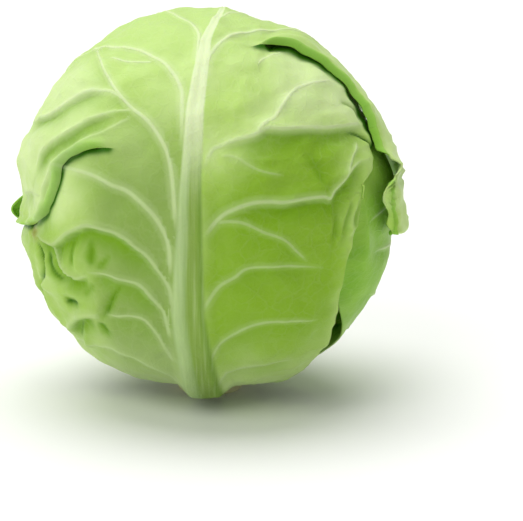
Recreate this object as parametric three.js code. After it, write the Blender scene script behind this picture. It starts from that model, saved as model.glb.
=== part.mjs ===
// A head of white cabbage, freshly trimmed: four big wrapper leaves folded round a dense heart on a
// short cut stem. Millimetres, +Z up. The origin is the middle of the stem's cut face, on which the head
// stands, and the front leaf's back, with its thick rib, looks towards -Y.
//
// Each leaf is drawn on a chart wrapped round the head: "along" is degrees from the stem pole, up the
// front and over the crown, and "across" is degrees to the side of the leaf's rib.
import * as THREE from "three";

const { degToRad, lerp, smoothstep, clamp } = THREE.MathUtils;

// Driving dimensions.
const headRadius = 87; // a large head, 7 inches across with its leaves
const centreHeight = 87; // middle of the head above the cut face
const crownFlattening = 0.005; // share of the radius
const stemDimple = 0.1; // share of the radius
const stemDimpleSpread = 22; // degrees round the stem pole
const chartCentre = 100; // along, where the chart touches the head
const bladeThickness = 1.4; // with the wax and the small crinkles
const stemRadius = 15.6;
const stemHeight = 62; // the stump and the core that the leaves grow from
const socketGap = 0.4; // between the core and the leaves
const leafStart = 12.2; // along, where a leaf's base meets the stem
const heartDepth = 15; // below the front leaf's surface
const backDepth = { covered: 6.2, open: 2.2 }; // under another leaf, and open to view
const leftDepth = { covered: 8.6, open: 4.4 };
const rightDepth = { covered: 11.3, open: 6.6 };
const marginBlend = [3, 15]; // degrees past an outer leaf's margin, where the leaf below comes up
const lipEase = 15; // degrees along the rib over which a fold's raised lip settles back
const tuckEase = 11; // and its tucked edge comes back out
const veinSpread = 2.4; // degrees
const backWidening = { most: 13, at: 97, spread: 20 }; // of one margin, degrees across and along
const backFlare = { most: 13, at: 95, spread: 11 }; // of that margin, which stands off: mm, degrees along

// Slow swells of the head, read in the front leaf's chart: [across, along, spread, height].
const swells = [
  [-78, 97, 17, -4.2],
  [72, 137, 22, -2.6],
  [48, 165, 26, -1],
  [-10, 176, 20, 0.6],
  [-45, 148, 25, 0.9],
  [10, 95, 30, 0.8],
  [-52, 62, 16, -1.2],
  [-40, 184, 24, 1.2],
  [-88, 125, 16, 1.8],
  [-82, 66, 12, -2.4],
  [-91, 103, 8, -2],
];

// A direction from the head's middle for a place on a leaf's chart. Azimuth 0 faces -Y and 90 faces +X.
function directionOf(azimuth, across, along) {
  const side = degToRad(across);
  const up = degToRad(along - chartCentre);
  const reach = Math.hypot(side, up);
  const share = reach < 1e-9 ? 1 : Math.sin(reach) / reach;
  const pole = degToRad(chartCentre);
  const forward = Math.sin(pole) * Math.cos(reach) + Math.cos(pole) * share * up;
  const height = -Math.cos(pole) * Math.cos(reach) + Math.sin(pole) * share * up;
  return new THREE.Vector3(share * side, -forward, height).applyAxisAngle(
    new THREE.Vector3(0, 0, 1),
    degToRad(azimuth),
  );
}

// The place on a leaf's chart, [across, along], that a direction passes through.
function chartOf(azimuth, direction) {
  const d = direction.clone().applyAxisAngle(new THREE.Vector3(0, 0, 1), -degToRad(azimuth));
  const pole = degToRad(chartCentre);
  const outward = -d.y * Math.sin(pole) - d.z * Math.cos(pole);
  const upward = -d.y * Math.cos(pole) + d.z * Math.sin(pole);
  const reach = Math.acos(clamp(outward, -1, 1));
  const share = reach < 1e-6 ? 1 : reach / Math.hypot(d.x, upward);
  const degrees = 180 / Math.PI;
  return [d.x * share * degrees, chartCentre + upward * share * degrees];
}

function bump(distance, spread) {
  return Math.exp(-((distance / spread) ** 2));
}

// Distance from the head's middle to its outer surface.
function headReach(direction) {
  const fromStem = Math.acos(clamp(-direction.z, -1, 1)) * (180 / Math.PI);
  let reach = headRadius * (1 - stemDimple * bump(fromStem, stemDimpleSpread));
  reach -= headRadius * crownFlattening * smoothstep(fromStem, 120, 180);
  const [across, along] = chartOf(0, direction);
  for (const [swellAcross, swellAlong, spread, height] of swells) {
    reach += height * bump(Math.hypot(across - swellAcross, along - swellAlong), spread);
  }
  return reach;
}

// A smooth curve through chart points, at a share from 0 to 1 of the way along them.
function curvePoint(points, share) {
  const spans = points.length - 1;
  const span = Math.min(Math.floor(share * spans), spans - 1);
  const f = share * spans - span;
  const at = (i) => points[clamp(i, 0, spans)];
  const [before, from, to, after] = [at(span - 1), at(span), at(span + 1), at(span + 2)];
  return [0, 1].map((k) => {
    const leave = (to[k] - before[k]) / 2;
    const arrive = (after[k] - from[k]) / 2;
    const turn = 3 * (to[k] - from[k]) - 2 * leave - arrive;
    const ease = 2 * (from[k] - to[k]) + leave + arrive;
    return from[k] + f * (leave + f * (turn + f * ease));
  });
}

// The row of a half leaf that leaves the rib at a given place, on a smooth sheet through the drawn rows.
function rowPoint(rows, ribAlong, share) {
  const last = rows.length - 1;
  let upper = rows.findIndex((drawn) => drawn.rib >= ribAlong);
  if (upper < 1) upper = upper === 0 ? 1 : last;
  const low = rows[upper - 1];
  const f = clamp((ribAlong - low.rib) / (rows[upper].rib - low.rib), 0, 1);
  return curvePoint(rows.map((drawn) => curvePoint(drawn.points, share)), (upper - 1 + f) / last);
}

const row = (...points) => ({ rib: points[0][1], points });

// The front leaf, read off its back as it faces the viewer. Each half is drawn in rows from the rib to the
// margin, below and above the place where that side of the leaf is tucked and overlaps itself.
const frontRib = [[0, leafStart], [-3, 40], [-6, 70], [-5.5, 112], [-4, 140], [-1, 160], [5, 182], [9, 205]];
const ribAcross = (along) => {
  const upper = clamp(frontRib.findIndex((p) => p[1] >= along), 1, frontRib.length - 1);
  const [low, high] = [frontRib[upper - 1], frontRib[upper]];
  return lerp(low[0], high[0], clamp((along - low[1]) / (high[1] - low[1]), 0, 1));
};
const frontLeaf = {
  azimuth: 0,
  start: leafStart,
  tip: 205,
  left: {
    slitRib: 112,
    slitShare: 2 / 9,
    lift: 2.6,
    tuck: 2.2,
    lower: [
      row(
        [0, leafStart], [-2, 12], [-4, 12], [-6, 12], [-8, 12],
        [-10, 12], [-11, 12], [-12, 12], [-13, 12], [-14, 12],
      ),
      row(
        [-2, 32], [-9, 32], [-16, 32], [-23, 32], [-30, 32],
        [-37, 32], [-43, 32], [-49, 32], [-55, 32], [-60, 32],
      ),
      row(
        [-4, 52], [-14, 53], [-24, 53], [-34, 53], [-43, 53],
        [-52, 52], [-61, 51], [-69, 50], [-77, 49], [-85, 48],
      ),
      row(
        [-6, 72], [-16, 74], [-27, 76], [-37, 77], [-46, 77],
        [-55, 74], [-64, 71], [-73, 68], [-83, 66], [-94, 64],
      ),
      row(
        [-5.5, 92], [-17, 96], [-29, 99], [-39, 100], [-47, 98],
        [-54, 92], [-61, 87], [-70, 83], [-82, 80], [-97, 78],
      ),
      row(
        [-5.5, 112], [-18, 118], [-31, 120.5], [-40, 123.5], [-50, 122],
        [-57, 116], [-61, 107], [-67, 100], [-78, 95], [-97, 91],
      ),
    ],
    upper: [
      row(
        [-5.5, 112], [-18, 118], [-31, 120.5], [-41, 120.5], [-49, 117],
        [-52, 108], [-56, 101], [-64, 95], [-77, 91], [-96, 88],
      ),
      row(
        [-5, 128], [-19, 130], [-33, 130], [-45, 128], [-55, 122],
        [-61, 114], [-67, 107], [-75, 102], [-86, 99], [-100, 98],
      ),
      row(
        [-3.5, 146], [-18, 147], [-33, 146], [-46, 143], [-57, 138],
        [-67, 131], [-76, 124], [-85, 118], [-94, 114], [-104, 112],
      ),
      row(
        [0, 163], [-15, 165], [-31, 164], [-46, 160], [-60, 154],
        [-72, 147], [-83, 140], [-92, 134], [-100, 130], [-107, 128],
      ),
      row(
        [5, 182], [-9, 184], [-24, 182], [-39, 178], [-53, 172],
        [-66, 166], [-78, 160], [-88, 155], [-97, 150], [-104, 147],
      ),
      row(
        [9, 205], [-3, 211], [-16, 208], [-29, 202], [-42, 197],
        [-54, 188], [-65, 183], [-75, 179], [-85, 171], [-94, 163],
      ),
    ],
  },
  right: {
    slitRib: 150,
    slitShare: 2 / 10,
    lift: 3.4,
    tuck: 3.2,
    lower: [
      row(
        [0, leafStart], [2, 12], [3, 12], [4, 12], [5, 12], [7, 12],
        [8, 12], [9, 12], [11, 12], [12, 12], [14, 12],
      ),
      row(
        [-2, 32], [2, 32], [6, 32], [10, 32], [14, 33], [18, 33],
        [22, 33], [26, 33], [30, 33], [33, 33], [37, 33],
      ),
      row(
        [-5, 58], [0, 58], [5, 59], [10, 60], [15, 61], [20, 61],
        [25, 62], [30, 62], [35, 62], [40, 62], [44, 61],
      ),
      row(
        [-5.5, 85], [0, 86], [6, 87], [11, 88], [16, 88], [21, 88],
        [26, 88], [31, 88], [36, 87], [40, 86], [44, 84],
      ),
      row(
        [-5.5, 110], [1, 111], [8, 112], [14, 113], [20, 113], [26, 113],
        [32, 112], [38, 110], [44, 107], [48, 103], [51, 98],
      ),
      row(
        [-4.5, 132], [4, 135], [12, 138], [20, 141], [28, 142], [36, 142],
        [44, 139], [50, 133], [54, 126], [55, 118], [52, 109],
      ),
      row(
        [-2.5, 150], [8, 156], [18.5, 161], [28, 169], [39, 171], [50, 168],
        [61, 160], [69, 149], [72, 137], [69, 125], [59, 116],
      ),
    ],
    upper: [
      row(
        [-2.5, 150], [8, 156], [18.5, 161], [29, 164], [40, 161], [51, 155],
        [60, 147], [66.5, 135], [68.5, 122], [66, 106], [71, 89],
      ),
      row(
        [-1, 160], [11, 167], [24, 171], [36, 171], [48, 168], [59, 161],
        [68, 151], [75, 138], [79, 124], [80, 108], [86, 90],
      ),
      row(
        [1, 170], [14, 176], [28, 179], [41, 178], [53, 173], [64, 165],
        [74, 154], [82, 142], [88, 129], [93, 115], [99, 98],
      ),
      row(
        [5, 182], [18, 187], [31, 188], [44, 187], [56, 183], [68, 175],
        [79, 165], [89, 153], [97, 141], [103, 128], [108, 114],
      ),
      row(
        [9, 205], [18, 214], [28, 211], [38, 204], [48, 202], [58, 199],
        [68, 190], [78, 180], [88, 173], [97, 164], [104, 152],
      ),
    ],
  },
};

// Raised ridges of the front leaf's back, over its side veins: chart points, then height.
const sideRidges = [
  [[-9.5, 75], [-11, 100], [-14, 119], [-24, 131.5], [-34, 145], [-39, 154], [-46, 175], 1.5],
  [[-7, 130], [-11, 144], [-18, 154], [-33, 160], [-46, 163], 1.1],
  [[-3.5, 158], [-6, 168], [-16, 179], [-30, 190], 1.1],
  [[-11, 84], [-15, 100], [-24, 109], [-36, 112.5], [-49, 116], 1.2],
  [[-11, 76], [-22, 89], [-37, 97], [-48, 94], [-56, 91], 1.2],
  [[-11, 64], [-17, 79], [-28, 83], [-38, 84], 1.0],
  [[0, 148], [4.5, 159], [14, 168], [28, 173], [46, 172], [62, 164], 1.3],
  [[0, 120], [10, 124], [18, 127], [25, 136], [36, 142.5], [48, 146], 1.3],
  [[18, 127], [30, 127], [47, 128.5], 1.2],
  [[1, 100], [12, 104.5], [28, 105.5], [38, 105.5], [46, 113.5], [53, 117.5], 1.3],
  [[1, 82], [14, 85], [26, 85], [38, 92], 0.9],
];

function distanceToPath(across, along, path) {
  let nearest = Infinity;
  for (let i = 0; i < path.length - 1; i++) {
    const [fromAcross, fromAlong] = path[i];
    const [spanAcross, spanAlong] = [path[i + 1][0] - fromAcross, path[i + 1][1] - fromAlong];
    const along01 = (across - fromAcross) * spanAcross + (along - fromAlong) * spanAlong;
    const f = clamp(along01 / Math.max(spanAcross ** 2 + spanAlong ** 2, 1e-9), 0, 1);
    const gap = Math.hypot(across - fromAcross - f * spanAcross, along - fromAlong - f * spanAlong);
    nearest = Math.min(nearest, gap);
  }
  return nearest;
}

// The rib's half width in degrees and its height in millimetres, tapering from the stem to the crown.
const ribHalfWidth = (along) => lerp(7, 1.4, smoothstep(along, 20, 165));
const ribHeight = (along) => lerp(5.2, 0.8, smoothstep(along, 10, 150));
function ribRelief(across, along, ribAt) {
  const from = Math.abs(across - ribAt(along)) / ribHalfWidth(along);
  return ribHeight(along) * (1 - smoothstep(from, 0.45, 1.5)) * (1 - smoothstep(along, 185, 205));
}

function frontRelief(across, along) {
  let height = ribRelief(across, along, ribAcross);
  for (const ridge of sideRidges) {
    const path = ridge.slice(0, -1);
    height = Math.max(height, ridge.at(-1) * bump(distanceToPath(across, along, path), veinSpread));
  }
  return height;
}

// The free lip of the right-hand fold stands off in ruffles: [share of the lip, spread, height].
const lipRuffles = [
  [0.94, 0.05, 3.2],
  [0.8, 0.06, -1.8],
  [0.68, 0.05, 1.4],
];
function lipRuffle(ribAlong, share) {
  const fade = bump(ribAlong - frontLeaf.right.slitRib, 12);
  return lipRuffles.reduce((sum, [at, spread, height]) => sum + height * bump(share - at, spread), 0) * fade;
}

// The blade swells a little between its veins.
function blister(across, along) {
  return 0.45 * Math.sin(degToRad(across * 9 + along * 4)) * Math.sin(degToRad(along * 11 - across * 5));
}

// A plain wrapper leaf above its base: rib place, then the margin's across and along.
const plainMargin = [
  [30, 50, 30],
  [52, 80, 48],
  [76, 94, 70],
  [100, 99, 97],
  [126, 98, 124],
  [150, 87, 150],
  [172, 66, 175],
  [188, 42, 193],
  [200, 14, 203],
];
const plainRows = (start, side, widening = () => 0) =>
  [[start, 14, start], ...plainMargin].map(([rib, across, along], i) => {
    const wide = side * (across + widening(along) + (i % 2 ? 2 : -2) * (across > 60 ? 1 : 0));
    return row([0, rib], [wide * 0.35, rib], [wide * 0.7, lerp(rib, along, 0.6)], [wide, along]);
  });

// The margin of a leaf as one closed outline on its chart.
function outlineOf(leaf) {
  const side = (half) => {
    const rows = [...half.lower, ...(half.upper ?? [])];
    return [...rows.map((r) => r.points.at(-1)), ...rows.at(-1).points.slice(0, -1).reverse()];
  };
  return [...side(leaf.right), ...side(leaf.left).reverse()];
}

// How far inside a leaf's margin a direction lies, in chart degrees, and below 0 outside it.
function insideLeaf(leaf, direction) {
  const [across, along] = chartOf(leaf.azimuth, direction);
  const outline = leaf.outline;
  let inside = false;
  for (let i = 0, j = outline.length - 1; i < outline.length; j = i++) {
    const [ax, ay] = outline[i];
    const [bx, by] = outline[j];
    if (ay > along !== by > along && across < ((bx - ax) * (along - ay)) / (by - ay) + ax) inside = !inside;
  }
  const gap = distanceToPath(across, along, [...outline, outline[0]]);
  return inside ? gap : -gap;
}

// 0 where an outer leaf lies over a direction and 1 where nothing does.
function exposure(outerLeaves, direction) {
  return outerLeaves.reduce(
    (share, leaf) => share * smoothstep(-insideLeaf(leaf, direction), ...marginBlend),
    1,
  );
}

// Steps a leaf's rows along its rib and its columns out to each margin.
const frontSteps = { rows: [20, 8, 15], columns: 24 };
const backSteps = { rows: [20], columns: 11 };
const innerSteps = { rows: [16], columns: 9 };

function ribStations(breaks, counts) {
  const stations = [breaks[0]];
  counts.forEach((count, k) => {
    for (let i = 1; i <= count; i++) stations.push(lerp(breaks[k], breaks[k + 1], i / count));
  });
  return stations;
}

// How far along a slit a share of a row is, eased, from 0 at the slit's inner end.
function slitOpening(half, share, columns) {
  return smoothstep(share, half.slitShare, half.slitShare + 1.5 / columns);
}

// The chart place, and the lift off the head, of one point of a half leaf.
function halfLeafPoint(half, ribAlong, share, columns, above) {
  if (half.slitRib === undefined) return { place: rowPoint(half.lower, ribAlong, share), lift: 0 };
  const rows = above ? half.upper : half.lower;
  const place = rowPoint(rows, ribAlong, share);
  const fromSlit = Math.abs(ribAlong - half.slitRib);
  const atSlit = fromSlit < 1e-6;
  const opening = slitOpening(half, share, columns);
  if (atSlit && !above) {
    const lip = rowPoint(half.upper, ribAlong, share);
    const past = smoothstep(share, half.slitShare + 1.2 / columns, half.slitShare + 2.6 / columns);
    place[0] = lerp(lip[0], place[0], past);
    place[1] = lerp(lip[1], place[1], past) - 0.45 * opening * (1 - past);
  }
  const fade = bump(fromSlit, above ? lipEase : tuckEase);
  return { place, lift: (above ? half.lift : -half.tuck) * opening * fade };
}

// Builds a leaf as one closed solid from its two halves.
function leafGeometry(leaf, steps, surface) {
  const { rows: counts, columns } = steps;
  const breaks = leaf.left.slitRib
    ? [leaf.start, leaf.left.slitRib, leaf.right.slitRib, leaf.tip]
    : [leaf.start, leaf.tip];
  const stations = ribStations(breaks, counts);
  const outer = [];
  const inner = [];
  const known = new Map();
  const vertex = (i, j, above) => {
    const half = j < 0 ? leaf.left : leaf.right;
    const share = Math.abs(j) / columns;
    const onSlit = Math.abs(stations[i] - (half.slitRib ?? -1)) < 1e-6;
    const split = onSlit && share > half.slitShare + 1e-6;
    const key = `${i}|${j}|${split ? above : ""}`;
    if (known.has(key)) return known.get(key);
    const upperPart = stations[i] > (half.slitRib ?? Infinity) || (onSlit && above);
    const { place, lift } = halfLeafPoint(half, stations[i], share, columns, upperPart);
    const direction = directionOf(leaf.azimuth, ...place);
    const { reach, relief } = surface(direction, place, share, stations[i], upperPart);
    outer.push(direction.clone().multiplyScalar(reach + lift + relief));
    inner.push(direction.clone().multiplyScalar(reach + lift - bladeThickness));
    known.set(key, outer.length - 1);
    return outer.length - 1;
  };
  const faces = [];
  for (let i = 0; i < stations.length - 1; i++) {
    for (let j = -columns; j < columns; j++) {
      const corners = [
        vertex(i, j, true),
        vertex(i, j + 1, true),
        vertex(i + 1, j + 1, false),
        vertex(i + 1, j, false),
      ];
      const [a, b, c, d] = corners;
      if ((i + j) % 2 === 0) faces.push([a, b, c], [a, c, d]);
      else faces.push([a, b, d], [b, c, d]);
    }
  }
  return thickened(outer, inner, faces);
}

// Closes an outer sheet and its inner twin into one solid, with a wall along every free edge.
function thickened(outer, inner, faces) {
  const count = outer.length;
  const edges = new Set(faces.flatMap(([a, b, c]) => [`${a},${b}`, `${b},${c}`, `${c},${a}`]));
  const index = [];
  for (const [a, b, c] of faces) index.push(a, b, c, a + count, c + count, b + count);
  for (const edge of edges) {
    const [a, b] = edge.split(",").map(Number);
    if (!edges.has(`${b},${a}`)) index.push(b, a, a + count, b, a + count, b + count);
  }
  return solidGeometry([...outer, ...inner], index);
}

function solidGeometry(points, index) {
  const geometry = new THREE.BufferGeometry().setFromPoints(points);
  geometry.setIndex(index);
  geometry.translate(0, 0, centreHeight);
  geometry.computeVertexNormals();
  return geometry;
}

// The wrapper leaves, from the outermost in, a turn of about 137 degrees apart round the stem.
const plainLeaf = (azimuth, start, widening) => ({
  azimuth,
  start,
  tip: 198,
  left: { lower: plainRows(start, -1) },
  right: { lower: plainRows(start, 1, widening) },
});
const backLeaf = plainLeaf(
  146,
  leafStart,
  (along) => backWidening.most * bump(along - backWidening.at, backWidening.spread),
);
const leftLeaf = plainLeaf(-98, leafStart + 0.4);
const rightLeaf = plainLeaf(62, leafStart + 2.2);
for (const leaf of [frontLeaf, backLeaf, leftLeaf, rightLeaf]) leaf.outline = outlineOf(leaf);

const straightRib = () => 0;

function frontSurface(direction, [across, along], share, ribAlong, aboveFold) {
  const ruffle = aboveFold && across > 0 ? lipRuffle(ribAlong, share) : 0;
  const wave = 0.8 * smoothstep(share, 0.85, 1) * (1 + Math.sin(degToRad(across * 7 + along * 10)));
  return {
    reach: headReach(direction) + ruffle + wave,
    relief: Math.max(frontRelief(across, along) + blister(across, along), -0.4),
  };
}

// A covered leaf lies pressed flat; its rib and its margin's waves rise where it is open to view.
function wrapperSurface(leaf, outerLeaves, depth, flare = () => 0) {
  return (direction, [across, along], share) => {
    const open = exposure(outerLeaves, direction);
    const wave = 1.5 * open * smoothstep(share, 0.8, 1) * Math.sin(degToRad(across * 4 + along * 9));
    const lifted = smoothstep(share, 0.86, 1) * flare(across, along);
    return {
      reach: headReach(direction) - lerp(depth.covered, depth.open, open) + wave + lifted,
      relief: open * (ribRelief(across, along, straightRib) + blister(across, along)),
    };
  };
}
const flareOfBack = (across, along) =>
  across > 0 ? backFlare.most * bump(along - backFlare.at, backFlare.spread) : 0;

// The heart: tight leaves that show only round the stem, as ribs between the wrapper leaves' bases.
const heartRibs = [205, -38];
const heartSteps = { around: 30, up: 18, pocket: 3 };
function heartPoint(fromStem, azimuth) {
  const direction = new THREE.Vector3(
    Math.sin(fromStem) * Math.sin(azimuth),
    -Math.sin(fromStem) * Math.cos(azimuth),
    -Math.cos(fromStem),
  );
  const open = exposure([frontLeaf, backLeaf, leftLeaf, rightLeaf], direction);
  let relief = 0;
  for (const rib of heartRibs) {
    const [across, along] = chartOf(rib, direction);
    relief = Math.max(relief, ribRelief(across, along, straightRib));
  }
  const lapped = 0.5 * Math.sin(3 * azimuth + 5 * fromStem);
  const reach = headReach(direction) - heartDepth + lapped + open ** 2 * (relief + 0.6);
  return direction.multiplyScalar(reach);
}

function heartGeometry() {
  const { around, up, pocket } = heartSteps;
  const rim = degToRad(leafStart + 4.5);
  const points = [heartPoint(Math.PI, 0)];
  const index = [];
  const ringStart = (ring) => 1 + ring * around;
  for (let ring = 0; ring < up; ring++) {
    const fromStem = lerp(Math.PI, rim, (ring + 1) / up);
    for (let k = 0; k < around; k++) points.push(heartPoint(fromStem, (2 * Math.PI * k) / around));
  }
  const lip = points.slice(ringStart(up - 1), ringStart(up));
  const pocketRadius = stemRadius + socketGap;
  const pocketTop = stemHeight + socketGap - centreHeight;
  for (let ring = 1; ring <= pocket; ring++) {
    for (const edge of lip) {
      const azimuth = Math.atan2(edge.y, edge.x);
      const height = lerp(edge.z + 1, pocketTop, (ring - 1) / (pocket - 1));
      const [x, y] = [pocketRadius * Math.cos(azimuth), pocketRadius * Math.sin(azimuth)];
      points.push(new THREE.Vector3(x, y, height));
    }
  }
  points.push(new THREE.Vector3(0, 0, pocketTop));
  for (let k = 0; k < around; k++) {
    const next = (k + 1) % around;
    index.push(0, ringStart(0) + k, ringStart(0) + next);
    for (let ring = 0; ring < up + pocket - 1; ring++) {
      const [a, b] = [ringStart(ring) + k, ringStart(ring) + next];
      const [c, d] = [ringStart(ring + 1) + k, ringStart(ring + 1) + next];
      index.push(a, c, d, a, d, b);
    }
    const last = ringStart(up + pocket - 1);
    index.push(last + k, points.length - 1, last + next);
  }
  return solidGeometry(points, index);
}

// The stem: a stump cut square across, flared a little where the knife left it, and its core.
function stemGeometry() {
  const r = stemRadius;
  const profile = [
    [0, 0],
    [r - 1.2, 0],
    [r - 0.3, 0.9],
    [r, 3],
    [r, 10],
    [r - 0.5, 30],
    [r - 3, stemHeight - 8],
    [r - 7, stemHeight - 1.5],
    [0, stemHeight],
  ];
  return new THREE.LatheGeometry(profile.map((p) => new THREE.Vector2(...p)), 24);
}

const leafGreen = (colour, roughness) =>
  new THREE.MeshStandardMaterial({ color: colour, roughness, metalness: 0 });

function named(name, geometry, material) {
  const mesh = new THREE.Mesh(geometry, material);
  mesh.name = name;
  return mesh;
}

const head = new THREE.Group();
head.add(
  named("leaf_front", leafGeometry(frontLeaf, frontSteps, frontSurface), leafGreen(0xa6cf6a, 0.42)),
  named(
    "leaf_back",
    leafGeometry(backLeaf, backSteps, wrapperSurface(backLeaf, [frontLeaf], backDepth, flareOfBack)),
    leafGreen(0x9ccb58, 0.42),
  ),
  named(
    "leaf_left",
    leafGeometry(leftLeaf, innerSteps, wrapperSurface(leftLeaf, [frontLeaf, backLeaf], leftDepth)),
    leafGreen(0xb4d77c, 0.42),
  ),
  named(
    "leaf_right",
    leafGeometry(
      rightLeaf,
      innerSteps,
      wrapperSurface(rightLeaf, [frontLeaf, backLeaf, leftLeaf], rightDepth),
    ),
    leafGreen(0xb4d77c, 0.42),
  ),
  named("heart", heartGeometry(), leafGreen(0xd3e8a6, 0.45)),
);
const stem = named("stem", stemGeometry(), leafGreen(0xe6ecc9, 0.6));
stem.rotation.x = Math.PI / 2;
head.add(stem);

export default head;
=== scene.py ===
import math
import random

import bmesh
import bpy
import numpy as np
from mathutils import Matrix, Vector, noise


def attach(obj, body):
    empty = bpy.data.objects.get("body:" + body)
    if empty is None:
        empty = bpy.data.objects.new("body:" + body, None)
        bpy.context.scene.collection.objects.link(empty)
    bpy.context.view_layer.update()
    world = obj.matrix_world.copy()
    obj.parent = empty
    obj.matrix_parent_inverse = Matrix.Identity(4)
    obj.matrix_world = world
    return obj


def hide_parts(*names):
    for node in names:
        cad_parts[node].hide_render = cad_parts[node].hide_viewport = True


# A head of cabbage: wrapper leaves, heart and stem, each a finer piece in place of its plain solid.
# Shapes are worked out in millimetres, and a leaf's chart in degrees: across from its rib, and along from
# the stem pole, up the leaf's back and over the crown.

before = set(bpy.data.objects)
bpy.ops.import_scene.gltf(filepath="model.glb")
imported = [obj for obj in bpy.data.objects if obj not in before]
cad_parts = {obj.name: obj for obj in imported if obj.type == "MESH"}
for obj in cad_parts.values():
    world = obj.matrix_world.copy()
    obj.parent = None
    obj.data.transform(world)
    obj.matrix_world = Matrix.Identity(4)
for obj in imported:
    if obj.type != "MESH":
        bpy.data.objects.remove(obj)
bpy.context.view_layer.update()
mm = 0.001

head = {
    "radius": 87,
    "centreHeight": 87,
    "crownFlattening": 0.005,  # share of the radius
    "stemDimple": 0.1,
    "stemDimpleSpread": 22,  # degrees round the stem
    "chartCentre": 100,  # along, where a chart touches the head
    "swells": [  # across, along, spread, height in mm, on the front leaf's chart
        (-78, 97, 17, -4.2),
        (72, 137, 22, -2.6),
        (48, 165, 26, -1.0),
        (-10, 176, 20, 0.6),
        (-45, 148, 25, 0.9),
        (10, 95, 30, 0.8),
        (-52, 62, 16, -1.2),
        (-40, 184, 24, 1.2),
        (-88, 125, 16, 1.8),
        (-82, 66, 12, -2.4),
        (-91, 103, 8, -2),
    ],
}
mmPerDegree = math.radians(1) * head["radius"]
leafStart = 12.2  # along, where a leaf's base meets the stem


def smooth(value, low, high):
    f = np.clip((value - low) / (high - low), 0, 1)
    return f * f * (3 - 2 * f)


def bump(distance, spread):
    return np.exp(-((distance / spread) ** 2))


def turned(direction, azimuth):
    c, s = math.cos(math.radians(azimuth)), math.sin(math.radians(azimuth))
    x, y, z = direction.T
    return np.stack([x * c - y * s, x * s + y * c, z], axis=1)


# From a place on a leaf's chart to a direction from the head's middle, and back. Azimuth 0 faces -Y.
def directionOf(azimuth, place):
    side, up = np.radians(place[:, 0]), np.radians(place[:, 1] - head["chartCentre"])
    reach = np.hypot(side, up)
    share = np.sinc(reach / np.pi)
    pole = math.radians(head["chartCentre"])
    forward = math.sin(pole) * np.cos(reach) + math.cos(pole) * share * up
    height = -math.cos(pole) * np.cos(reach) + math.sin(pole) * share * up
    return turned(np.stack([share * side, -forward, height], axis=1), azimuth)


def chartOf(azimuth, direction):
    x, y, z = turned(direction, -azimuth).T
    pole = math.radians(head["chartCentre"])
    outward = -y * math.sin(pole) - z * math.cos(pole)
    upward = -y * math.cos(pole) + z * math.sin(pole)
    reach = np.arccos(np.clip(outward, -1, 1))
    share = reach / np.maximum(np.hypot(x, upward), 1e-9)
    return np.stack([np.degrees(x * share), head["chartCentre"] + np.degrees(upward * share)], axis=1)


def headReach(direction):
    fromStem = np.degrees(np.arccos(np.clip(-direction[:, 2], -1, 1)))
    reach = head["radius"] * (1 - head["stemDimple"] * bump(fromStem, head["stemDimpleSpread"]))
    reach -= head["radius"] * head["crownFlattening"] * smooth(fromStem, 120, 180)
    across, along = chartOf(0, direction).T
    for swellAcross, swellAlong, spread, height in head["swells"]:
        reach += height * bump(np.hypot(across - swellAcross, along - swellAlong), spread)
    return reach


# A smooth curve through points, and a smooth sheet through rows of points.
def throughFour(before, start, end, after, f):
    leave, arrive = (end - before) / 2, (after - start) / 2
    turn = 3 * (end - start) - 2 * leave - arrive
    ease = 2 * (start - end) + leave + arrive
    return start + f * (leave + f * (turn + f * ease))


def curveAt(points, share):
    spans = len(points) - 1
    span = np.clip((share * spans).astype(int), 0, spans - 1)
    near = [points[np.clip(span + shift, 0, spans)] for shift in (-1, 0, 1, 2)]
    return throughFour(*near, (share * spans - span)[:, None])


def rowPlaces(rows, ribAlong, share):
    ribs = np.array([row[0][1] for row in rows], float)
    last = len(rows) - 1
    upper = np.clip(np.searchsorted(ribs, ribAlong), 1, last)
    f = np.clip((ribAlong - ribs[upper - 1]) / (ribs[upper] - ribs[upper - 1]), 0, 1)
    curves = np.stack([curveAt(np.array(row, float), share) for row in rows])
    span = np.clip((upper - 1 + f).astype(int), 0, last - 1)
    each = np.arange(len(share))
    near = [curves[np.clip(span + shift, 0, last), each] for shift in (-1, 0, 1, 2)]
    return throughFour(*near, (upper - 1 + f - span)[:, None])


def smoothPath(points, steps=5):
    points = np.array(points, float)
    return curveAt(points, np.linspace(0, 1, (len(points) - 1) * steps + 1))


# Distance in mm from places to a path, the side they lie on (1 is left of its way), and how far along it.
def alongPath(place, path):
    start, span = path[:-1], path[1:] - path[:-1]
    length = np.maximum((span**2).sum(1), 1e-9)
    best = np.full(len(place), np.inf)
    side, share = np.ones(len(place)), np.zeros(len(place))
    for k in range(len(start)):
        away = place - start[k]
        f = np.clip((away @ span[k]) / length[k], 0, 1)
        gap = np.hypot(away[:, 0] - f * span[k, 0], away[:, 1] - f * span[k, 1])
        nearer = gap < best
        best = np.where(nearer, gap, best)
        share = np.where(nearer, (k + f) / len(start), share)
        turn = np.sign(span[k, 0] * away[:, 1] - span[k, 1] * away[:, 0])
        side = np.where(nearer, turn, side)
    return best * mmPerDegree, side, share


branchReach = 4.5  # mm from an earlier stroke, within which a stroke starts as its branch
strokeReach = 16  # degrees round a stroke, past which it leaves no mark
veinReach = (3.2, 6.5)  # mm from a vein, over which its pale line ends


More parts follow.
